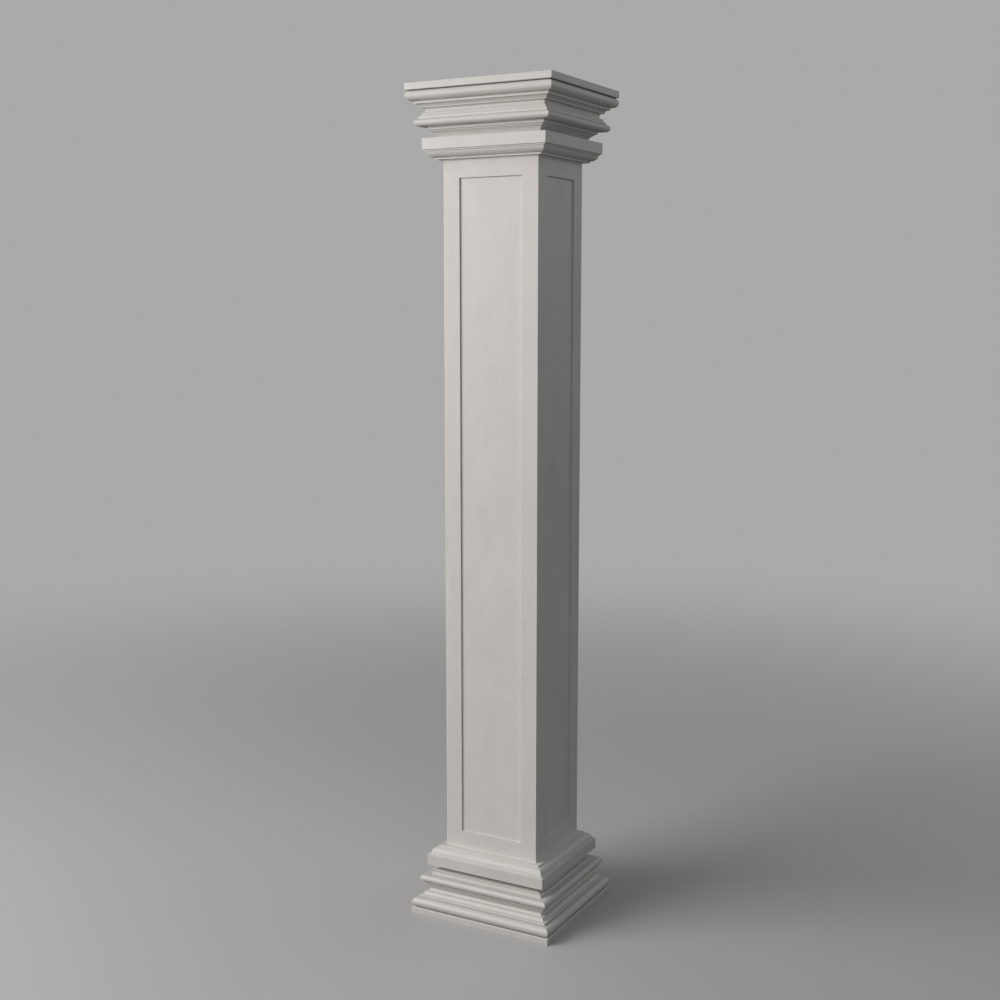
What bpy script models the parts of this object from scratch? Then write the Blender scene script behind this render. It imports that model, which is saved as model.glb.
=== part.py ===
# Marble column: a panelled shaft of oblong plan between a moulded base and a moulded capital, with a plinth slab
# underneath and an abacus slab on top. Metres, +Z up. The origin is the centre of the underside, and the broad
# faces look along Y.

import bpy
import bmesh
from math import asin, atan2, ceil, cos, degrees, hypot, pi, radians, sin
from mathutils import Matrix

# The shaft: with the stones under and over it, the column stands 3.000 tall
SHAFT_HEIGHT = 2.4924
SHAFT_WIDTH = 0.373           # along X
SHAFT_DEPTH = 0.339           # along Y
BED_GAP = 0.0003              # dry bed between two stones

# Plinth and abacus
SLAB_THICKNESS = 0.024
SLAB_PROJECTION = 0.097       # out from the shaft's face, as every projection below
SLAB_EASE = 0.0015            # eased arrises

# Sunk panel on each face of the shaft
PANEL_MARGIN = 0.064
PANEL_SINK = 0.006
SHAFT_EASE = 0.0020           # eased corners

# The mouldings, named from the slab towards the shaft
BIG_TORUS_RADIUS = 0.0175     # flush with the slab's face
UPPER_FILLET_HEIGHT = 0.0090
UPPER_FILLET_PROJECTION = 0.0740
COVE_HEIGHT = 0.0080
COVE_PROJECTION = 0.0675      # at its lip
COVE_HOLLOW = 0.0012
COVE_FILLET_HEIGHT = 0.0045
COVE_FILLET_PROJECTION = 0.0590

SCOTIA_HEIGHT = 0.0185
SCOTIA_PROJECTION = 0.0490
SCOTIA_HOLLOW = 0.0040

FLARE_HEIGHT = 0.0115
FLARE_PROJECTION = 0.0545     # where it starts
FLARE_SPREAD = 0.0048
FLARE_HOLLOW = 0.0010
FLARE_FILLET_HEIGHT = 0.0080
FLARE_FILLET_PROJECTION = 0.0635

SMALL_TORUS_RADIUS = 0.0125
SMALL_TORUS_PROJECTION = 0.0748

MIDDLE_FILLET_HEIGHT = 0.0100
MIDDLE_FILLET_PROJECTION = 0.0405
CAVETTO_FILLET_HEIGHT = 0.0040
CAVETTO_HEIGHT = 0.0220
CAVETTO_PROJECTION = 0.0320   # of the fillet and the lip of the cavetto
CAVETTO_HOLLOW = 0.0036
THROAT_HEIGHT = 0.0027
THROAT_PROJECTION = 0.0130

BLOCK_HEIGHT = 0.0390
BLOCK_PROJECTION = 0.0540
BLOCK_FILLET_HEIGHT = 0.0050
BLOCK_FILLET_PROJECTION = 0.0480
OVOLO_RADIUS = 0.0210
OVOLO_STEP = 0.0010           # from the last fillet out to the foot of the ovolo
NECK_FILLET_HEIGHT = 0.0060
NECK_FILLET_PROJECTION = 0.0210

# Facets
ARC_STEP_DEG = 9.0            # largest turn between two facets of a round moulding
EASE_SEGMENTS = 2

# Honed off-white marble
MARBLE_COLOR = (0.80, 0.79, 0.76, 1.0)
MARBLE_ROUGHNESS = 0.45


def clear_scene():
    for item in list(bpy.data.objects):
        bpy.data.objects.remove(item, do_unlink=True)


class Moulding:
    """An outline of points (projection, level), with the level counted from the slab's bed towards the shaft."""

    def __init__(self):
        self.points = []
        self.level = 0.0

    def band(self, projection, height):
        """A flat upright face."""
        self.points.append((projection, self.level))
        self.level += height
        self.points.append((projection, self.level))

    def arc(self, centre_projection, centre_level, radius, start_deg, end_deg):
        """Facets about a centre: 0 degrees points outwards, 90 degrees towards the shaft's middle height."""
        steps = max(2, ceil(abs(end_deg - start_deg) / ARC_STEP_DEG))
        for step in range(steps + 1):
            angle = radians(start_deg + (end_deg - start_deg) * step / steps)
            point = (centre_projection + radius * cos(angle), centre_level + radius * sin(angle))
            self.points.append(point)

    def torus(self, projection, radius):
        """A half round roll that reaches out to the projection."""
        self.arc(projection - radius, self.level + radius, radius, -90, 90)
        self.level += 2 * radius

    def ovolo(self, inner_projection, radius):
        """A quarter round that curls in towards the shaft."""
        self.arc(inner_projection, self.level, radius, 0, 90)
        self.level += radius

    def hollow(self, start_projection, end_projection, height, depth):
        """A round hollow between two lips, as deep as stated under the straight line from lip to lip."""
        run_in = start_projection - end_projection
        chord = hypot(run_in, height)
        radius = (chord ** 2 / 4 + depth ** 2) / (2 * depth)
        lean = degrees(atan2(run_in, height))
        swing = degrees(asin(chord / 2 / radius))
        centre_projection = (start_projection + end_projection) / 2 + (radius - depth) * height / chord
        centre_level = self.level + height / 2 + (radius - depth) * run_in / chord
        self.arc(centre_projection, centre_level, radius, 180 + lean + swing, 180 + lean - swing)
        self.level += height


def draw_moulding():
    """The whole run of mouldings, the same in the base and in the capital."""
    run = Moulding()
    run.torus(SLAB_PROJECTION, BIG_TORUS_RADIUS)
    run.band(UPPER_FILLET_PROJECTION, UPPER_FILLET_HEIGHT)
    run.hollow(COVE_PROJECTION, COVE_FILLET_PROJECTION, COVE_HEIGHT, COVE_HOLLOW)
    run.band(COVE_FILLET_PROJECTION, COVE_FILLET_HEIGHT)
    run.hollow(SCOTIA_PROJECTION, SCOTIA_PROJECTION, SCOTIA_HEIGHT, SCOTIA_HOLLOW)
    run.hollow(FLARE_PROJECTION, FLARE_PROJECTION + FLARE_SPREAD, FLARE_HEIGHT, FLARE_HOLLOW)
    run.band(FLARE_FILLET_PROJECTION, FLARE_FILLET_HEIGHT)
    run.torus(SMALL_TORUS_PROJECTION, SMALL_TORUS_RADIUS)
    run.band(MIDDLE_FILLET_PROJECTION, MIDDLE_FILLET_HEIGHT)
    run.band(CAVETTO_PROJECTION, CAVETTO_FILLET_HEIGHT)
    run.hollow(CAVETTO_PROJECTION, THROAT_PROJECTION, CAVETTO_HEIGHT, CAVETTO_HOLLOW)
    run.band(THROAT_PROJECTION, THROAT_HEIGHT)
    run.band(BLOCK_PROJECTION, BLOCK_HEIGHT)
    run.band(BLOCK_FILLET_PROJECTION, BLOCK_FILLET_HEIGHT)
    run.ovolo(NECK_FILLET_PROJECTION + OVOLO_STEP, OVOLO_RADIUS)
    run.band(NECK_FILLET_PROJECTION, NECK_FILLET_HEIGHT)
    return run


def without_repeats(points):
    """The same outline with no point twice in a row."""
    kept = [points[0]]
    for point in points[1:]:
        if hypot(point[0] - kept[-1][0], point[1] - kept[-1][1]) > 1e-6:
            kept.append(point)
    return kept


def move_ring(verts, projection, level):
    """Put the four corners of a ring at the projection from the shaft's faces and at the level."""
    for vert in verts:
        vert.co.x = (SHAFT_WIDTH / 2 + projection) * (1 if vert.co.x > 0 else -1)
        vert.co.y = (SHAFT_DEPTH / 2 + projection) * (1 if vert.co.y > 0 else -1)
        vert.co.z = level


def moulded_block_mesh(points):
    """A ring of four edges, drawn through each point of the outline: a block with mitred mouldings all round."""
    bm = bmesh.new()
    corner_turn = Matrix.Rotation(pi / 4, 4, "Z")
    ring = bmesh.ops.create_circle(bm, segments=4, radius=1.0, matrix=corner_turn)["verts"]
    move_ring(ring, *points[0])
    edges = bm.edges[:]
    for point in points[1:]:
        drawn = bmesh.ops.extrude_edge_only(bm, edges=edges)["geom"]
        edges = [item for item in drawn if isinstance(item, bmesh.types.BMEdge)]
        move_ring([item for item in drawn if isinstance(item, bmesh.types.BMVert)], *point)
    bmesh.ops.holes_fill(bm, edges=bm.edges)
    bmesh.ops.recalc_face_normals(bm, faces=bm.faces)
    return finish_mesh(bm, "moulded block")


def box_bmesh(width, depth, height):
    """A box that stands on the plane z = 0."""
    bm = bmesh.new()
    bmesh.ops.create_cube(bm, size=1.0)
    bmesh.ops.translate(bm, vec=(0, 0, 0.5), verts=bm.verts)
    bmesh.ops.scale(bm, vec=(width, depth, height), verts=bm.verts)
    return bm


def finish_mesh(bm, name):
    mesh = bpy.data.meshes.new(name)
    bm.to_mesh(mesh)
    bm.free()
    return mesh


def slab_mesh():
    width = SHAFT_WIDTH + 2 * SLAB_PROJECTION
    depth = SHAFT_DEPTH + 2 * SLAB_PROJECTION
    return finish_mesh(box_bmesh(width, depth, SLAB_THICKNESS), "slab")


def shaft_mesh():
    """A box with a panel sunk in each of its four upright faces."""
    bm = box_bmesh(SHAFT_WIDTH, SHAFT_DEPTH, SHAFT_HEIGHT)
    weight = bm.edges.layers.float.new("bevel_weight_edge")
    corners = {edge for edge in bm.edges if abs(edge.verts[0].co.z - edge.verts[1].co.z) > SHAFT_HEIGHT / 2}
    sides = [face for face in bm.faces if abs(face.normal.z) < 0.5]
    bmesh.ops.inset_individual(bm, faces=sides, thickness=PANEL_MARGIN, use_even_offset=True)
    bmesh.ops.inset_individual(bm, faces=sides, thickness=0.0, depth=-PANEL_SINK)
    for edge in bm.edges:
        edge[weight] = 1.0 if edge in corners else 0.0
    return finish_mesh(bm, "shaft")


def marble(stone):
    """Honed off-white marble."""
    material = bpy.data.materials.new(stone + " marble")
    material.use_nodes = True
    shader = material.node_tree.nodes["Principled BSDF"]
    shader.inputs["Base Color"].default_value = MARBLE_COLOR
    shader.inputs["Roughness"].default_value = MARBLE_ROUGHNESS
    shader.inputs["Metallic"].default_value = 0.0
    return material


def ease_edges(stone, width, limit_method):
    bevel = stone.modifiers.new("eased arrises", "BEVEL")
    bevel.width = width
    bevel.segments = EASE_SEGMENTS
    bevel.limit_method = limit_method


def place(name, mesh, column, level, upside_down=False):
    """Set a stone with its underside at the level, or an upside-down one with its top there."""
    stone = bpy.data.objects.new(name, mesh)
    stone.location.z = level
    stone.rotation_euler.x = pi if upside_down else 0.0
    stone.parent = column
    column.users_collection[0].objects.link(stone)
    if not mesh.materials:
        mesh.materials.append(None)
    stone.material_slots[0].link = "OBJECT"
    stone.material_slots[0].material = marble(name)
    return stone


def shade_rounds(mesh):
    mesh.shade_smooth()
    mesh.set_sharp_from_angle(angle=radians(2 * ARC_STEP_DEG))


def build():
    clear_scene()
    collection = bpy.data.collections.new("marble column")
    bpy.context.scene.collection.children.link(collection)
    column = bpy.data.objects.new("column", None)
    collection.objects.link(column)

    run = draw_moulding()
    moulded = moulded_block_mesh(without_repeats(run.points))
    shade_rounds(moulded)
    slab = slab_mesh()

    base_bed = SLAB_THICKNESS + BED_GAP
    shaft_bed = base_bed + run.level + BED_GAP
    capital_top = shaft_bed + SHAFT_HEIGHT + BED_GAP + run.level
    abacus_top = capital_top + BED_GAP + SLAB_THICKNESS
    place("plinth", slab, column, 0.0)
    place("base", moulded, column, base_bed)
    shaft = place("shaft", shaft_mesh(), column, shaft_bed)
    place("capital", moulded, column, capital_top, upside_down=True)
    place("abacus", slab, column, abacus_top, upside_down=True)

    for name in ("plinth", "abacus"):
        ease_edges(bpy.data.objects[name], SLAB_EASE, "ANGLE")
    ease_edges(shaft, SHAFT_EASE, "WEIGHT")


build()
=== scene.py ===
# Looks of the marble column: five stones with eased arrises in honed, faintly clouded off-white marble, on a
# plain pale floor under soft studio lights. Metres, +Z up, in the frame's own coordinates.

from math import acos, asin, atan2, ceil, cos, degrees, hypot, inf, pi, radians, sin

import bmesh
import bpy
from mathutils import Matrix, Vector


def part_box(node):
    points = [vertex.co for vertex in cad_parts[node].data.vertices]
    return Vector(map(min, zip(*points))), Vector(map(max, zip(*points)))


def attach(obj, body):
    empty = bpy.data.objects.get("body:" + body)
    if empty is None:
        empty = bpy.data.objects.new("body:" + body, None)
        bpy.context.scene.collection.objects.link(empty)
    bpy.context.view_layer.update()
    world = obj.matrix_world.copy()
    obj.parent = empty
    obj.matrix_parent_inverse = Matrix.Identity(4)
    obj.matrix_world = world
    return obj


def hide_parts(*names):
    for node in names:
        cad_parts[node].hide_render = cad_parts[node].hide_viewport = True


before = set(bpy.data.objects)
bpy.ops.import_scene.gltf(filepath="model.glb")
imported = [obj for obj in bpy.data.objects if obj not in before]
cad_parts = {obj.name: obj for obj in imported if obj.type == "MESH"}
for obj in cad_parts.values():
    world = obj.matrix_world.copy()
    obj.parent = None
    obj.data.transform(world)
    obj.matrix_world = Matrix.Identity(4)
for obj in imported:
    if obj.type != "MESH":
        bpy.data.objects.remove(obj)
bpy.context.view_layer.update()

BODY = "root"

# Camera, as the photograph's
CAMERA_LENS_MM = 50
CAMERA_SENSOR_MM = 36
CAMERA_PLACE = (2.382, -4.409, 2.258)
CAMERA_HEADING_DEG = 28.93      # turned from +Y towards -X
CAMERA_PITCH_DEG = 8.13         # looking down

# Run of mouldings, as the solids': heights and projections from the shaft's face, named from the slab inwards
BIG_TORUS_RADIUS = 0.0175
UPPER_FILLET_HEIGHT = 0.0090
UPPER_FILLET_PROJECTION = 0.0740
COVE_HEIGHT = 0.0080
COVE_PROJECTION = 0.0675
COVE_HOLLOW = 0.0012
COVE_FILLET_HEIGHT = 0.0045
COVE_FILLET_PROJECTION = 0.0590
SCOTIA_HEIGHT = 0.0185
SCOTIA_PROJECTION = 0.0490
SCOTIA_HOLLOW = 0.0040
FLARE_HEIGHT = 0.0115
FLARE_PROJECTION = 0.0545
FLARE_SPREAD = 0.0048
FLARE_HOLLOW = 0.0010
FLARE_FILLET_HEIGHT = 0.0080
FLARE_FILLET_PROJECTION = 0.0635
SMALL_TORUS_RADIUS = 0.0125
SMALL_TORUS_PROJECTION = 0.0748
MIDDLE_FILLET_HEIGHT = 0.0100
MIDDLE_FILLET_PROJECTION = 0.0405
CAVETTO_FILLET_HEIGHT = 0.0040
CAVETTO_HEIGHT = 0.0220
CAVETTO_PROJECTION = 0.0320
CAVETTO_HOLLOW = 0.0036
THROAT_HEIGHT = 0.0027
THROAT_PROJECTION = 0.0130
BLOCK_HEIGHT = 0.0390
BLOCK_PROJECTION = 0.0540
BLOCK_FILLET_HEIGHT = 0.0050
BLOCK_FILLET_PROJECTION = 0.0480
OVOLO_RADIUS = 0.0210
OVOLO_STEP = 0.0010
NECK_FILLET_HEIGHT = 0.0060
NECK_FILLET_PROJECTION = 0.0210

# Sunk panels of the shaft
PANEL_MARGIN = 0.064
PANEL_SINK = 0.006

# Fineness of the carving
ARC_STEP_DEG = 4.0
LEAST_ARC_STEPS = 4
EASE_STEPS = 3
MITRE_STEPS = 3
BEVEL_SEGMENTS = 3
ROUND_PROFILE = 0.5
SHARP_TURN_DEG = 20.0           # a larger turn in an outline is an arris or an inner corner
CREASE_DEG = 40.0               # a larger turn between two faces stays a sharp edge
SAME_PLACE = 1e-6               # two points no further apart are one
CUT_MARGIN = 1e-5               # a point no further from a cut lies on it
FLAT_FACE_WEIGHT = 100          # the most: large faces alone decide how the strips beside them are shaded

# Eased arrises, fillets and fine grooves
MOULDING_EASE = 0.0006          # cut back on each side of an arris
SLAB_EASE = 0.0015
SHAFT_EASE = 0.0014
PANEL_EASE = 0.0003
PANEL_FILLET = 0.0003           # along the panel's inner corner
MITRE_RADIUS = 0.0012           # of the upright corners of the moulded stones and slabs
QUIRK_HALF_WIDTH = 0.0008       # fine groove along an inner corner of the mouldings
QUIRK_DEPTH = 0.0016
BED_STRIP = 0.0060              # strip of the bed that is drawn with the outline
SUPPORT_GAP = 0.0018            # flat strip beside an arris or a corner, over which its tone fades
CUT_SHARE = 0.80                # most of the room beside a corner that its own cut takes
SUPPORT_SHARE = 0.95            # and that the cut and the strip take together

# Painted light of each point: pale for a painted highlight on arrises, dark for painted shade in corners,
# grooves and under overhangs
PAINTED_LIGHT_NAME = "painted_light"
# painted highlight on an eased arris
ARRIS_HIGHLIGHT = 1.0
BRIGHTEST_HIGHLIGHT = 2.0               # the palest painted highlight
DARKEST_SHADE = -1.0                    # the darkest painted shade
SHAFT_HIGHLIGHT_STRIP = 0.0030        # strip beside the shaft's upright arrises that gets a painted highlight
# painted highlight on the panels' arrises
PANEL_ARRIS_HIGHLIGHT = 0.5
ABACUS_ARRIS_SHADE = -0.4         # painted shade on the slab's arris beside the open joint
BASE_GROOVE_SHADE = 1.0                 # painted shade in the base's grooves
# painted shade in the capital's grooves
CAPITAL_GROOVE_SHADE = 0.5
STEP_OUT_LIP_SHARE = 1.0        # painted shade on the lips of a groove, as a share of that at its bottom
STEP_IN_LIP_SHARE = 0.5
PLAIN_CORNER_SHADE = -0.15        # painted shade of an inner corner without a groove
OVERHANG_SHADE_FULL = 0.0062         # how far down the face under an overhang of the base the painted shade is darkest
OVERHANG_SHADE_END = 0.0085          # and where it ends
CAVETTO_SHADE = 0.75             # painted shade in the base's deep hollow under the block
CAVETTO_SHADE_REACH = 0.0050     # how far above the hollow's lower lip it is darkest
JOINT_SHADE_HEIGHT = 0.0040      # how far the painted shade of the open joint beside the slab reaches up the first roll
JOINT_SHADE_FULL = 0.0110        # and how far in from the slab's face it is darkest on the slab
PANEL_CORNER_SHADE = -0.1         # painted shade of the panel's inner corner
PANEL_TOP_SHADE = -0.6     # painted shade on the panel beside its upper edge, under its overhang
PANEL_SHADE_DROP = 0.0040        # how far down from the upper edge that painted shade ends

# Senses of a turn in an outline, and ways up of a stone
ARRIS = 1
INNER_CORNER = -1
STANDING = 1
HANGING = -1


# Outline of the mouldings

class Moulding:
    """An outline of points (projection, level). The level counts from the slab's bed towards the shaft."""

    def __init__(self):
        self.points = []
        self.level = 0.0

    def band(self, projection, height):
        """A flat upright face."""
        self.points.append((projection, self.level))
        self.level += height
        self.points.append((projection, self.level))

    def arc(self, centre_projection, centre_level, radius, start_deg, end_deg):
        """Fine facets about a centre: 0 degrees points outwards, 90 degrees towards the shaft."""
        steps = max(LEAST_ARC_STEPS, ceil(abs(end_deg - start_deg) / ARC_STEP_DEG))
        steps += steps % 2
        for step in range(steps + 1):
            angle = radians(start_deg + (end_deg - start_deg) * step / steps)
            point = (centre_projection + radius * cos(angle), centre_level + radius * sin(angle))
            self.points.append(point)

    def torus(self, projection, radius):
        """A half round roll that reaches out to the projection, from the face that it swells out of."""
        centre_projection = projection - radius
        covered = max(0.0, self.points[-1][0] - centre_projection)
        self.arc(centre_projection, self.level + radius, radius, -degrees(acos(covered / radius)), 90)
        self.level += 2 * radius

    def ovolo(self, inner_projection, radius):
        """A quarter round that curls in towards the shaft."""
        self.arc(inner_projection, self.level, radius, 0, 90)
        self.level += radius

    def hollow(self, start_projection, end_projection, height, depth):
        """A round hollow between two lips, as deep as stated under the straight line from lip to lip."""
        run_in = start_projection - end_projection
        chord = hypot(run_in, height)
        radius = (chord ** 2 / 4 + depth ** 2) / (2 * depth)
        lean = degrees(atan2(run_in, height))
        swing = degrees(asin(chord / 2 / radius))
        centre_projection = (start_projection + end_projection) / 2 + (radius - depth) * height / chord
        centre_level = self.level + height / 2 + (radius - depth) * run_in / chord
        self.arc(centre_projection, centre_level, radius, 180 + lean + swing, 180 + lean - swing)
        self.level += height


def draw_moulding(slab_projection):
    """The whole run of mouldings with a strip of each bed, the same in the base and in the capital."""
    run = Moulding()
    run.points.append((slab_projection - BIG_TORUS_RADIUS - BED_STRIP, 0.0))
    run.torus(slab_projection, BIG_TORUS_RADIUS)
    run.band(UPPER_FILLET_PROJECTION, UPPER_FILLET_HEIGHT)
    run.hollow(COVE_PROJECTION, COVE_FILLET_PROJECTION, COVE_HEIGHT, COVE_HOLLOW)
    run.band(COVE_FILLET_PROJECTION, COVE_FILLET_HEIGHT)
    run.hollow(SCOTIA_PROJECTION, SCOTIA_PROJECTION, SCOTIA_HEIGHT, SCOTIA_HOLLOW)
    run.hollow(FLARE_PROJECTION, FLARE_PROJECTION + FLARE_SPREAD, FLARE_HEIGHT, FLARE_HOLLOW)
    run.band(FLARE_FILLET_PROJECTION, FLARE_FILLET_HEIGHT)
    run.torus(SMALL_TORUS_PROJECTION, SMALL_TORUS_RADIUS)
    run.band(MIDDLE_FILLET_PROJECTION, MIDDLE_FILLET_HEIGHT)
    run.band(CAVETTO_PROJECTION, CAVETTO_FILLET_HEIGHT)
    run.hollow(CAVETTO_PROJECTION, THROAT_PROJECTION, CAVETTO_HEIGHT, CAVETTO_HOLLOW)
    run.band(THROAT_PROJECTION, THROAT_HEIGHT)
    run.band(BLOCK_PROJECTION, BLOCK_HEIGHT)
    run.band(BLOCK_FILLET_PROJECTION, BLOCK_FILLET_HEIGHT)
    run.ovolo(NECK_FILLET_PROJECTION + OVOLO_STEP, OVOLO_RADIUS)
    run.band(NECK_FILLET_PROJECTION, NECK_FILLET_HEIGHT)
    run.points.append((NECK_FILLET_PROJECTION - BED_STRIP, run.level))
    return run.points


def draw_slab(projection, thickness):
    """The square edge of a slab with a strip of its two faces."""
    return [(projection - BED_STRIP, 0.0), (projection, 0.0), (projection, thickness),
            (projection - BED_STRIP, thickness)]


# Easing of the outlines, with their painted highlights and painted shade

def without_repeats(points):
    """The same outline with no point twice in a row."""
    kept = [Vector(points[0])]
    for point in points[1:]:
        if (Vector(point) - kept[-1]).length > SAME_PLACE:
            kept.append(Vector(point))
    return kept


def walk_lengths(points):
    """How far along the outline each point lies."""
    lengths = [0.0]
    for before, after in zip(points, points[1:]):
        lengths.append(lengths[-1] + (after - before).length)
    return lengths


def point_at(points, lengths, length):
    """The point of the outline at a length along it."""
    for index in range(1, len(points)):
        if lengths[index] >= length:
            span = lengths[index] - lengths[index - 1]
            return points[index - 1].lerp(points[index], (length - lengths[index - 1]) / span)
    return points[-1].copy()


def find_corners(points):
    """Index and sense of each sharp turn."""
    corners = []
    for index in range(1, len(points) - 1):
        before = points[index] - points[index - 1]
        after = points[index + 1] - points[index]
        turn = degrees(before.angle_signed(after))
        if abs(turn) > SHARP_TURN_DEG:
            corners.append((index, ARRIS if turn < 0 else INNER_CORNER))
    return corners


def rounded_arris(first, corner, last):
    """A small round from one cut to the other, with a painted highlight."""
    round_points = []
    for step in range(EASE_STEPS + 1):
        share = step / EASE_STEPS
        place = first.lerp(corner, share).lerp(corner.lerp(last, share), share)
        # every point of the round gets a painted highlight
        round_points.append((*place, ARRIS_HIGHLIGHT))
    return round_points


def quirk(first, corner, last, groove_shade):
    """A fine groove cut into the inner corner, with painted shade at its bottom and on its lips."""
    into_stone = (corner - (first + last) / 2).normalized()
    lip_shade = -groove_shade * (STEP_OUT_LIP_SHARE if last.x > first.x else STEP_IN_LIP_SHARE)
    return [(*first, lip_shade), (*(corner + QUIRK_DEPTH * into_stone), -groove_shade), (*last, lip_shade)]


def shade_under_overhang(length, overhangs):
    """Painted shade of the face under an overhang: darkest close under it and none further down."""
    below = min((overhang - length for overhang in overhangs if overhang >= length), default=inf)
    return DARKEST_SHADE * min(1.0, max(0.0, (OVERHANG_SHADE_END - below) / (OVERHANG_SHADE_END - OVERHANG_SHADE_FULL)))


def plain_stretch(points, lengths, start, end, overhangs):
    """The outline's own points between two lengths, and its very first one."""
    return [(*point, shade_under_overhang(length, overhangs)) for point, length in zip(points, lengths)
            if start + CUT_MARGIN < length < end - CUT_MARGIN or length == start == 0.0]


def ease_outline(points, ease, groove_shade=0.0, step_ins_grooved_to=inf, shades_overhangs=False):
    """The outline with rounded arrises and grooved inner corners, as points (projection, level, painted
    light).

    Above the stated level, a corner where the outline steps in has no groove. In a run that shades its own
    faces, painted shade lies under each step out."""
    points = without_repeats(points)
    lengths = walk_lengths(points)
    corners = find_corners(points)
    overhangs = [lengths[index] for index, sense in corners
                 if shades_overhangs and sense == INNER_CORNER and points[index + 1].x > points[index - 1].x]
    marks = [0.0] + [lengths[index] for index, _ in corners] + [lengths[-1]]
    eased = []
    start = 0.0
    for number, (index, sense) in enumerate(corners, start=1):
        corner = points[index]
        here = marks[number]
        room = min(here - marks[number - 1], marks[number + 1] - here) / 2
        cut = min(ease if sense == ARRIS else QUIRK_HALF_WIDTH, CUT_SHARE * room)
        support = min(cut + SUPPORT_GAP, SUPPORT_SHARE * room)
        first = point_at(points, lengths, here - cut)
        last = point_at(points, lengths, here + cut)
        eased += plain_stretch(points, lengths, start, here - support, overhangs)
        eased.append((*point_at(points, lengths, here - support), shade_under_overhang(here - support, overhangs)))
        if sense == ARRIS:
            eased += rounded_arris(first, corner, last)
        elif last.x > first.x or corner.y < step_ins_grooved_to:
            eased += quirk(first, corner, last, groove_shade)
        else:
            # a plain inner corner, with a faint painted shade
            eased.append((*corner, PLAIN_CORNER_SHADE))
        eased.append((*point_at(points, lengths, here + support), 0.0))
        start = here + support
    eased += plain_stretch(points, lengths, start, inf, overhangs)
    return eased


def shade_roll_foot(outline):
    """The outline with painted shade on the foot of its first roll, deep in the open joint beside the slab.
    """
    return [(projection, level, min(painted_light, level / JOINT_SHADE_HEIGHT - 1))
            for projection, level, painted_light in outline]


def shade_hollow(outline, low, high):
    """The outline with painted shade in the hollow between two levels, lighter near its lower lip."""
    soiled = []
    for projection, level, painted_light in outline:
        if low < level < high:
            painted_light = min(painted_light, -CAVETTO_SHADE * min(1.0, (level - low) / CAVETTO_SHADE_REACH))
        soiled.append((projection, level, painted_light))
    return soiled


def paint_slab_light_and_shade(outline, arris_light):
    """The slab's outline with a given painted tone on the arris beside the joint: a painted highlight on the
    plinth, painted shade on the abacus.

    It is carried on under the first roll, where painted shade darkens the joint from the end of the bed's
    strip."""
    face = outline[-1][0] + BED_STRIP
    top = outline[-1][1]
    toned = [(projection, level, arris_light if painted_light > 0 and level > top / 2 else painted_light)
             for projection, level, painted_light in outline]
    return toned + [(face - JOINT_SHADE_FULL, top, DARKEST_SHADE)]


# Meshes

def ring_plan(half_width, half_depth):
    """A rectangle with rounded corners: points (x, y, painted light), anticlockwise, with a painted highlight
    on the corners.
    """
    plan = []
    for quarter in range(4):
        turn = quarter * pi / 2
        side_x = 1 if quarter in (0, 3) else -1
        side_y = 1 if quarter in (0, 1) else -1
        centre_x = side_x * (half_width - MITRE_RADIUS)
        centre_y = side_y * (half_depth - MITRE_RADIUS)
        corner = []
        for step in range(MITRE_STEPS + 1):
            angle = turn + pi / 2 * step / MITRE_STEPS
            place = (centre_x + MITRE_RADIUS * cos(angle), centre_y + MITRE_RADIUS * sin(angle))
            corner.append((*place, ARRIS_HIGHLIGHT))
        before = (corner[0][0] + SUPPORT_GAP * sin(turn), corner[0][1] - SUPPORT_GAP * cos(turn), 0.0)
        after = (corner[-1][0] - SUPPORT_GAP * cos(turn), corner[-1][1] - SUPPORT_GAP * sin(turn), 0.0)
        plan += [before] + corner + [after]
    return plan


def lofted_mesh(name, outline, half_width, half_depth, bed, way_up):
    """Rings of the plan, one for each point of the outline, with the two ends closed."""
    bm = bmesh.new()
    painted_light = bm.verts.layers.float.new(PAINTED_LIGHT_NAME)
    rings = []
    for projection, level, outline_light in outline:
        ring = []
        for x, y, corner_light in ring_plan(half_width + projection, half_depth + projection):
            vert = bm.verts.new((x, y, bed + way_up * level))
            # painted shade of the outline wins; elsewhere the brighter painted highlight of outline or corner
            vert[painted_light] = outline_light if outline_light < 0 else max(outline_light, corner_light)
            ring.append(vert)
        rings.append(ring)
    for lower, upper in zip(rings, rings[1:]):
        for index in range(len(lower)):
            after = (index + 1) % len(lower)
            bm.faces.new((lower[index], lower[after], upper[after], upper[index]))
    bm.faces.new(rings[0][::-1])
    bm.faces.new(rings[-1])
    bmesh.ops.recalc_face_normals(bm, faces=bm.faces)
    return finish_mesh(bm, name)


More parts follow.
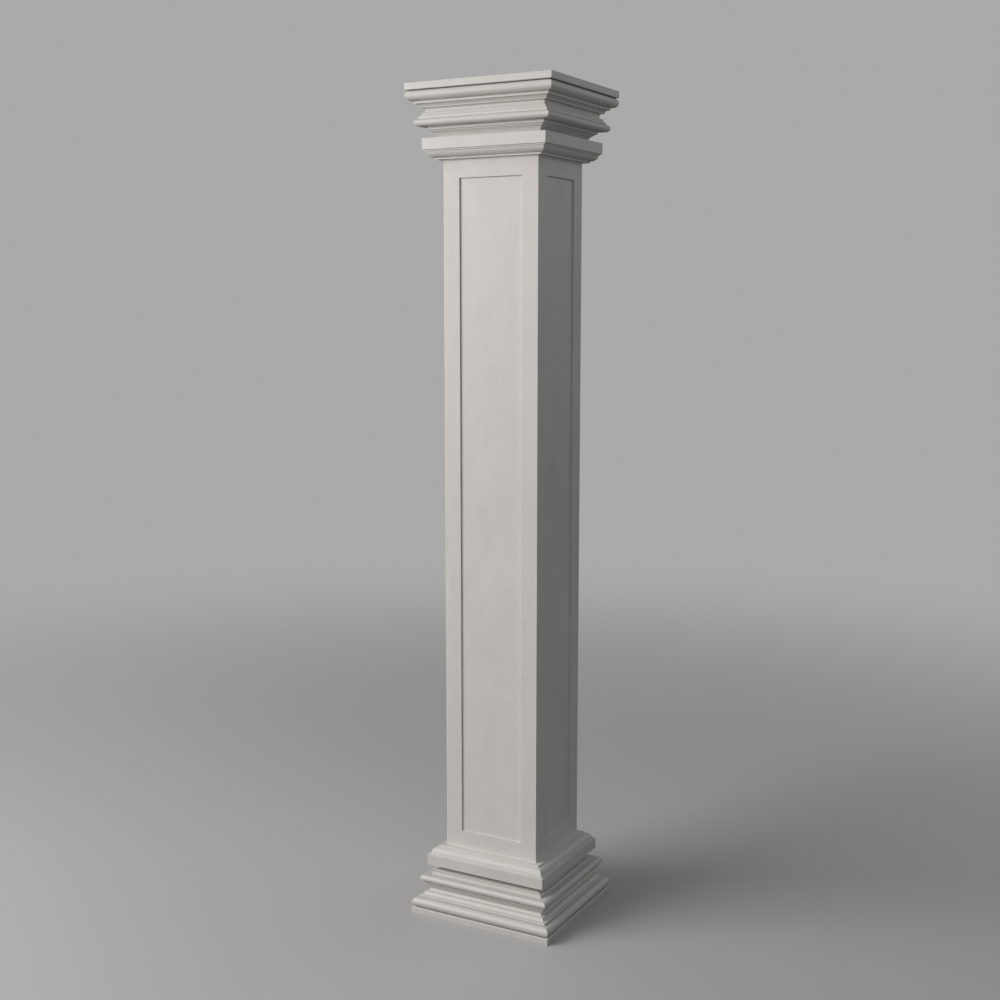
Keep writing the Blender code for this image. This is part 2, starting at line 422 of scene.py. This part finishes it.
def shaft_mesh(name, low, high):
    """The shaft: a box whose sides hold sunk panels, with eased arrises and filleted inner corners, painted
    highlights on its arrises and painted shade in the panels' corners.
    """
    bm = bmesh.new()
    painted_light = bm.verts.layers.float.new(PAINTED_LIGHT_NAME)
    bmesh.ops.create_cube(bm, size=1.0)
    bmesh.ops.scale(bm, vec=high - low, verts=bm.verts)
    bmesh.ops.translate(bm, vec=(high + low) / 2, verts=bm.verts)
    uprights = [edge for edge in bm.edges if edge.verts[0].co.z != edge.verts[1].co.z]
    sides = [face for face in bm.faces if any(edge in uprights for edge in face.edges)]

    def inset(thickness, depth=0.0):
        """Shrink the four faces and sink them; the result is their new outlines."""
        bmesh.ops.inset_individual(bm, faces=sides, thickness=thickness, depth=depth, use_even_offset=True)
        return list({edge for face in sides for edge in face.edges})

    inset(SHAFT_EASE + SHAFT_HIGHLIGHT_STRIP)
    inset(PANEL_MARGIN - SHAFT_EASE - SHAFT_HIGHLIGHT_STRIP - PANEL_EASE - SUPPORT_GAP)
    panel_arris = inset(PANEL_EASE + SUPPORT_GAP)
    panel_corner = inset(0.0, -PANEL_SINK)
    inset(PANEL_FILLET + SUPPORT_GAP)
    panel_floor = {vert for face in sides for vert in face.verts}
    # painted highlight on the arrises, painted shade in the panels' inner corners
    softened = (
        (uprights, SHAFT_EASE, BRIGHTEST_HIGHLIGHT),
        (panel_arris, PANEL_EASE, PANEL_ARRIS_HIGHLIGHT),
        (panel_corner, PANEL_FILLET, PANEL_CORNER_SHADE),
    )
    for edges, size, tone in softened:
        made = bmesh.ops.bevel(bm, geom=edges, offset=size, segments=BEVEL_SEGMENTS, affect="EDGES",
                               profile=ROUND_PROFILE)
        for vert in made["verts"]:
            vert[painted_light] = tone
    shade_panel_tops(bm, painted_light, panel_floor, high.z - PANEL_MARGIN - PANEL_SHADE_DROP)
    return finish_mesh(bm, name)


def shade_panel_tops(bm, painted_light, panel_floor, shade_end):
    """Painted shade along the upper edge of each panel, down to a ring of new points round the shaft."""
    everything = bm.verts[:] + bm.edges[:] + bm.faces[:]
    bmesh.ops.bisect_plane(bm, geom=everything, plane_co=(0, 0, shade_end), plane_no=(0, 0, 1))
    for vert in bm.verts:
        if vert.co.z > shade_end + CUT_MARGIN:
            if vert[painted_light] < 0:
                vert[painted_light] = DARKEST_SHADE
            elif vert in panel_floor:
                vert[painted_light] = PANEL_TOP_SHADE


def finish_mesh(bm, name):
    """The finished mesh, smooth but for its sharp edges."""
    mesh = bpy.data.meshes.new(name)
    bm.to_mesh(mesh)
    bm.free()
    mesh.shade_smooth()
    mesh.set_sharp_from_angle(angle=radians(CREASE_DEG))
    return mesh


def place_stone(mesh, node):
    """Put the finished stone in the place of its solid."""
    stone = bpy.data.objects.new(mesh.name, mesh)
    bpy.context.scene.collection.objects.link(stone)
    weigh = stone.modifiers.new("flat faces stay flat", "WEIGHTED_NORMAL")
    weigh.weight = FLAT_FACE_WEIGHT
    weigh.keep_sharp = True
    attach(stone, BODY)
    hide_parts(node)


# Marble

MARBLE_DARK = (0.758, 0.734, 0.704, 1.0)
MARBLE_MID = (0.778, 0.754, 0.724, 1.0)
MARBLE_LIGHT = (0.798, 0.776, 0.748, 1.0)
WARM_TINT = (1.000, 0.990, 0.974, 1.0)
COOL_TINT = (0.986, 0.994, 0.992, 1.0)
VEIN_COLOR = (0.560, 0.552, 0.530, 1.0)
# colours of the painted highlights and the painted shade
HIGHLIGHT_COLOR = (0.880, 0.868, 0.845, 1.0)
SHADE_COLOR = (0.300, 0.280, 0.250, 1.0)

# Noise patterns, from the broadest to the finest
SWIRL = {"scale": 3.2, "detail": 2}
VEINS = {"scale": 4.2, "detail": 7, "roughness": 0.62}
TONES = {"scale": 5.0, "detail": 2}
CLOUDS = {"scale": 11.0, "detail": 5, "roughness": 0.55}
SMEARS = {"scale": 30.0, "detail": 3, "roughness": 0.6}
TOOLING = {"scale": 38.0, "detail": 1}
GRAIN = {"scale": 620.0, "detail": 2, "roughness": 0.7}

BED_TURN_DEG = 20               # of the bed about the upright
BED_DRAW = (1.0, 0.8, 0.42)     # scale of the bed's coordinates: under 1 draws the patterns out
SWIRL_PUSH = (0.22, 0.22, 0.22)

# Values of a pattern between which one colour passes into the next
DARK_TO_MID = (0.30, 0.52)
MID_TO_LIGHT = (0.50, 0.72)
SMEAR_SPAN = (0.56, 0.76)
TINT_SPAN = (0.38, 0.62)
GRAIN_SPAN = (0.35, 0.70)
SHINE_SPAN = (0.30, 0.70)
VEIN_MIDDLE = 0.5
VEIN_HALF_WIDTH = 0.012

# Strength of each colour where it is fullest
SMEAR_SHARE = 0.40
VEIN_SHARE = 0.16
GRAIN_SHARE = 0.10
# strength of the painted highlight and the painted shade
HIGHLIGHT_SHARE = 0.70
SHADE_SHARE = 0.80

LEAST_ROUGHNESS = 0.40
MOST_ROUGHNESS = 0.52
TOOLING_STRENGTH = 0.18
TOOLING_HEIGHT = 0.0006
PORE_STRENGTH = 0.08
PORE_DEPTH = 0.00003


def feed(tree, socket, value):
    """Link an input to another node's output, or set its own value."""
    if isinstance(value, bpy.types.NodeSocket):
        tree.links.new(value, socket)
    else:
        socket.default_value = value


def add(tree, kind, sockets=None, **settings):
    """A new node with its settings, and its inputs set or linked."""
    node = tree.nodes.new(kind)
    for name, value in settings.items():
        setattr(node, name, value)
    for name, value in (sockets or {}).items():
        feed(tree, node.inputs[name], value)
    return node


def mix(tree, factor, one, other, blend_type="MIX"):
    """A mix of two colours."""
    node = add(tree, "ShaderNodeMix", data_type="RGBA", blend_type=blend_type)
    for identifier, value in (("Factor_Float", factor), ("A_Color", one), ("B_Color", other)):
        feed(tree, next(socket for socket in node.inputs if socket.identifier == identifier), value)
    return next(socket for socket in node.outputs if socket.identifier == "Result_Color")


def calculate(tree, operation, *values):
    """The result of a sum on one or two numbers."""
    return add(tree, "ShaderNodeMath", dict(enumerate(values)), operation=operation).outputs[0]


def calculate_vector(tree, operation, one, other):
    """The result of a sum on two vectors."""
    return add(tree, "ShaderNodeVectorMath", {0: one, 1: other}, operation=operation).outputs[0]


def noise(tree, vector, scale, detail, roughness=0.5):
    """A noise texture; its first output is the value and its second the colour."""
    sockets = {"Vector": vector, "Scale": scale, "Detail": detail, "Roughness": roughness}
    return add(tree, "ShaderNodeTexNoise", sockets)


def spread(tree, value, from_low, from_high, to_low=0.0, to_high=1.0):
    """A value stretched from one range to another, with soft ends."""
    sockets = {
        "Value": value, "From Min": from_low, "From Max": from_high, "To Min": to_low, "To Max": to_high,
    }
    return add(tree, "ShaderNodeMapRange", sockets, interpolation_type="SMOOTHSTEP").outputs["Result"]


def clean_color(tree, drawn, warped, clouds, grain):
    """The marble's own colour: soft clouds and smears, warm and cool tones, faint veins and fine grain."""
    dark_clouds = mix(tree, spread(tree, clouds, *DARK_TO_MID), MARBLE_DARK, MARBLE_MID)
    color = mix(tree, spread(tree, clouds, *MID_TO_LIGHT), dark_clouds, MARBLE_LIGHT)

    smears = noise(tree, warped, **SMEARS).outputs[0]
    color = mix(tree, spread(tree, smears, *SMEAR_SPAN, 0.0, SMEAR_SHARE), color, MARBLE_LIGHT)

    tones = noise(tree, drawn, **TONES).outputs[0]
    tint = mix(tree, spread(tree, tones, *TINT_SPAN), WARM_TINT, COOL_TINT)
    color = mix(tree, 1.0, color, tint, "MULTIPLY")

    veins = noise(tree, warped, **VEINS).outputs[0]
    off_middle = calculate(tree, "ABSOLUTE", calculate(tree, "SUBTRACT", veins, VEIN_MIDDLE))
    color = mix(tree, spread(tree, off_middle, 0.0, VEIN_HALF_WIDTH, VEIN_SHARE, 0.0), color, VEIN_COLOR)

    return mix(tree, spread(tree, grain, *GRAIN_SPAN, 0.0, GRAIN_SHARE), color, MARBLE_DARK)


def light_and_shade_color(tree, color):
    """The colour with painted highlights on the arrises and painted shade in corners, grooves and under
    overhangs.
    """
    painted_light = add(tree, "ShaderNodeAttribute", attribute_name=PAINTED_LIGHT_NAME).outputs["Fac"]
    color = mix(tree, spread(tree, painted_light, 0.0, BRIGHTEST_HIGHLIGHT, 0.0, HIGHLIGHT_SHARE), color, HIGHLIGHT_COLOR)
    return mix(tree, spread(tree, painted_light, 0.0, DARKEST_SHADE, 0.0, SHADE_SHARE), color, SHADE_COLOR)


def honed_surface(tree, place, grain):
    """Faint waves left by the tools, with fine pores on them."""
    tooling = noise(tree, place, **TOOLING).outputs[0]
    waves = add(tree, "ShaderNodeBump", {
        "Height": tooling, "Strength": TOOLING_STRENGTH, "Distance": TOOLING_HEIGHT,
    })
    pores = add(tree, "ShaderNodeBump", {
        "Height": grain, "Strength": PORE_STRENGTH, "Distance": PORE_DEPTH, "Normal": waves.outputs[0],
    })
    return pores.outputs[0]


def marble(name, block_offset, drift_deg):
    """Honed off-white marble, its patterns drawn out along the bed of one block."""
    material = bpy.data.materials.new(name)
    material.use_nodes = True
    tree = material.node_tree
    shader = tree.nodes["Principled BSDF"]

    place = add(tree, "ShaderNodeTexCoord").outputs["Object"]
    drawn = add(tree, "ShaderNodeMapping", {
        "Vector": place,
        "Location": block_offset,
        "Rotation": (0.0, radians(drift_deg), radians(BED_TURN_DEG)),
        "Scale": BED_DRAW,
    }).outputs["Vector"]
    swirl = noise(tree, drawn, **SWIRL).outputs["Color"]
    warped = calculate_vector(tree, "ADD", drawn, calculate_vector(tree, "MULTIPLY", swirl, SWIRL_PUSH))
    clouds = noise(tree, warped, **CLOUDS).outputs[0]
    grain = noise(tree, place, **GRAIN).outputs[0]

    # the marble's colour with its painted highlights and painted shade
    color = light_and_shade_color(tree, clean_color(tree, drawn, warped, clouds, grain))
    shine = spread(tree, clouds, *SHINE_SPAN, LEAST_ROUGHNESS, MOST_ROUGHNESS)
    tree.links.new(color, shader.inputs["Base Color"])
    tree.links.new(shine, shader.inputs["Roughness"])
    tree.links.new(honed_surface(tree, place, grain), shader.inputs["Normal"])
    return material


# Stones

# Of each stone: the record's slot, the block's place in the patterns, and the lean of its bed in degrees
STONE_MARBLES = {
    "plinth": ("slab_marble", (3.1, 0.4, 1.7), 12),
    "base": ("moulded_marble", (0.0, 2.3, 5.2), 28),
    "shaft": ("shaft_marble", (0.7, 0.2, 0.3), 34),
    "capital": ("moulded_marble", (6.4, 1.9, 0.8), 22),
    "abacus": ("slab_marble", (1.2, 4.6, 2.9), 15),
}


def draw_stones(slab_projection, slab_thickness):
    """The outline of each stone but the shaft."""
    run = draw_moulding(slab_projection)
    cavetto_low = max(level for projection, level in run if projection == CAVETTO_PROJECTION)
    cavetto_high = max(level for projection, level in run if projection == THROAT_PROJECTION)
    roll_top = 2 * BIG_TORUS_RADIUS + SUPPORT_GAP
    # painted shade in the grooves, under the base's overhangs, in its hollow and in the joints; painted
    # highlights on the arrises
    base = ease_outline(run, MOULDING_EASE, BASE_GROOVE_SHADE, step_ins_grooved_to=roll_top, shades_overhangs=True)
    capital = ease_outline(run, MOULDING_EASE, CAPITAL_GROOVE_SHADE)
    slab = ease_outline(draw_slab(slab_projection, slab_thickness), SLAB_EASE)
    return {
        "plinth": paint_slab_light_and_shade(slab, BRIGHTEST_HIGHLIGHT),
        "base": shade_hollow(shade_roll_foot(base), cavetto_low, cavetto_high),
        "capital": shade_roll_foot(capital),
        "abacus": paint_slab_light_and_shade(slab, ABACUS_ARRIS_SHADE),
    }


def build_column():
    """The five stones, each in the place of its solid."""
    shaft_low, shaft_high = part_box("shaft")
    plinth_low, plinth_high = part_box("plinth")
    base_low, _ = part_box("base")
    _, capital_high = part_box("capital")
    _, abacus_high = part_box("abacus")
    half_width = (shaft_high.x - shaft_low.x) / 2
    half_depth = (shaft_high.y - shaft_low.y) / 2
    outlines = draw_stones(plinth_high.x - half_width, plinth_high.z - plinth_low.z)

    def stone_mesh(name, node, bed, way_up):
        return lofted_mesh(name, outlines[node], half_width, half_depth, bed, way_up)

    meshes = {
        "plinth": stone_mesh("plinth_slab", "plinth", plinth_low.z, STANDING),
        "base": stone_mesh("base_mouldings", "base", base_low.z, STANDING),
        "shaft": shaft_mesh("panelled_shaft", shaft_low, shaft_high),
        "capital": stone_mesh("capital_mouldings", "capital", capital_high.z, HANGING),
        "abacus": stone_mesh("abacus_slab", "abacus", abacus_high.z, HANGING),
    }
    for node, mesh in meshes.items():
        slot, block_offset, drift_deg = STONE_MARBLES[node]
        place_stone(mesh, node)
        mesh.materials.append(marble(mesh.name + "_marble", block_offset, drift_deg))


# Studio

FLOOR_SIZE = 80.0
FLOOR_COLOR = (0.60, 0.595, 0.585, 1.0)
FLOOR_BOUNCE_COLOR = (0.150, 0.150, 0.137, 1.0)     # what the floor throws back on the stones
FLOOR_ROUGHNESS = 0.75
FADE_START = 1.5
FADE_END = 7.0
BACKDROP_COLOR = (0.40, 0.40, 0.40, 1.0)
FILL_COLOR = (0.88, 0.98, 1.00, 1.0)
FILL_STRENGTH = 0.15

# Soft lights: azimuths count from the front to the left, distances over the floor from the column's axis
SOFT_LIGHTS = {
    "key": {
        "azimuth_deg": 42, "distance": 6.2, "height": 3.3, "aim_height": 1.0,
        "width": 4.8, "tall": 2.6, "power": 268, "color": (1.00, 0.958, 0.955),
    },
    "high_left": {
        "azimuth_deg": 45, "distance": 14.4, "height": 15.4, "aim_height": 1.5,
        "width": 17.8, "tall": 7.8, "power": 720, "color": (1.00, 0.976, 0.940),
    },
    "back_right": {
        "azimuth_deg": 220, "distance": 7.0, "height": 4.6, "aim_height": 1.8,
        "width": 7.4, "tall": 4.6, "power": 62, "color": (0.98, 0.96, 1.00),
    },
    "low_right": {
        "azimuth_deg": -35, "distance": 6.2, "height": 0.8, "aim_height": 1.6,
        "width": 3.5, "tall": 2.0, "power": 19, "color": (0.95, 0.97, 1.00),
    },
}


def build_floor():
    """A plain pale floor that fades into the backdrop far away."""
    bpy.ops.mesh.primitive_grid_add(x_subdivisions=2, y_subdivisions=2, size=FLOOR_SIZE)
    floor = bpy.context.object
    floor.name = "studio_floor"
    material = bpy.data.materials.new("studio_floor")
    material.use_nodes = True
    tree = material.node_tree
    shader = tree.nodes["Principled BSDF"]
    seen = add(tree, "ShaderNodeLightPath").outputs["Is Camera Ray"]
    tree.links.new(mix(tree, seen, FLOOR_BOUNCE_COLOR, FLOOR_COLOR), shader.inputs["Base Color"])
    shader.inputs["Roughness"].default_value = FLOOR_ROUGHNESS
    place = add(tree, "ShaderNodeTexCoord").outputs["Object"]
    distance = add(tree, "ShaderNodeVectorMath", {0: place}, operation="LENGTH").outputs["Value"]
    glow = add(tree, "ShaderNodeEmission", {"Color": BACKDROP_COLOR})
    fade = calculate(tree, "MULTIPLY", spread(tree, distance, FADE_START, FADE_END), seen)
    blend = add(tree, "ShaderNodeMixShader", {0: fade, 1: shader.outputs[0], 2: glow.outputs[0]})
    tree.links.new(blend.outputs[0], tree.nodes["Material Output"].inputs["Surface"])
    floor.data.materials.append(material)


def build_world():
    """A pale backdrop with a weak, slightly cool fill light."""
    world = bpy.data.worlds.new("studio")
    bpy.context.scene.world = world
    world.use_nodes = True
    tree = world.node_tree
    tree.nodes.clear()
    fill = add(tree, "ShaderNodeBackground", {"Color": FILL_COLOR, "Strength": FILL_STRENGTH})
    backdrop = add(tree, "ShaderNodeBackground", {"Color": BACKDROP_COLOR})
    seen = add(tree, "ShaderNodeLightPath").outputs["Is Camera Ray"]
    blend = add(tree, "ShaderNodeMixShader", {0: seen, 1: fill.outputs[0], 2: backdrop.outputs[0]})
    add(tree, "ShaderNodeOutputWorld", {"Surface": blend.outputs[0]})


def build_soft_light(name, azimuth_deg, distance, height, aim_height, width, tall, power, color):
    """A soft panel of light that isn't seen itself."""
    light = bpy.data.lights.new(name, "AREA")
    light.shape = "RECTANGLE"
    light.size = width
    light.size_y = tall
    light.energy = power
    light.color = color
    panel = bpy.data.objects.new(name, light)
    azimuth = radians(azimuth_deg)
    panel.location = (-sin(azimuth) * distance, -cos(azimuth) * distance, height)
    aim = Vector((0, 0, aim_height)) - panel.location
    panel.rotation_euler = aim.to_track_quat("-Z", "Y").to_euler()
    panel.visible_camera = False
    bpy.context.scene.collection.objects.link(panel)


def build_camera():
    """The camera at the photograph's place and angle."""
    data = bpy.data.cameras.new("camera")
    data.lens = CAMERA_LENS_MM
    data.sensor_width = CAMERA_SENSOR_MM
    camera = bpy.data.objects.new("camera", data)
    camera.location = CAMERA_PLACE
    camera.rotation_euler = (radians(90 - CAMERA_PITCH_DEG), 0, radians(CAMERA_HEADING_DEG))
    bpy.context.scene.collection.objects.link(camera)
    bpy.context.scene.camera = camera


build_camera()
build_column()
build_floor()
build_world()
for name, settings in SOFT_LIGHTS.items():
    build_soft_light(name, **settings)
bpy.context.scene.view_settings.view_transform = "Standard"
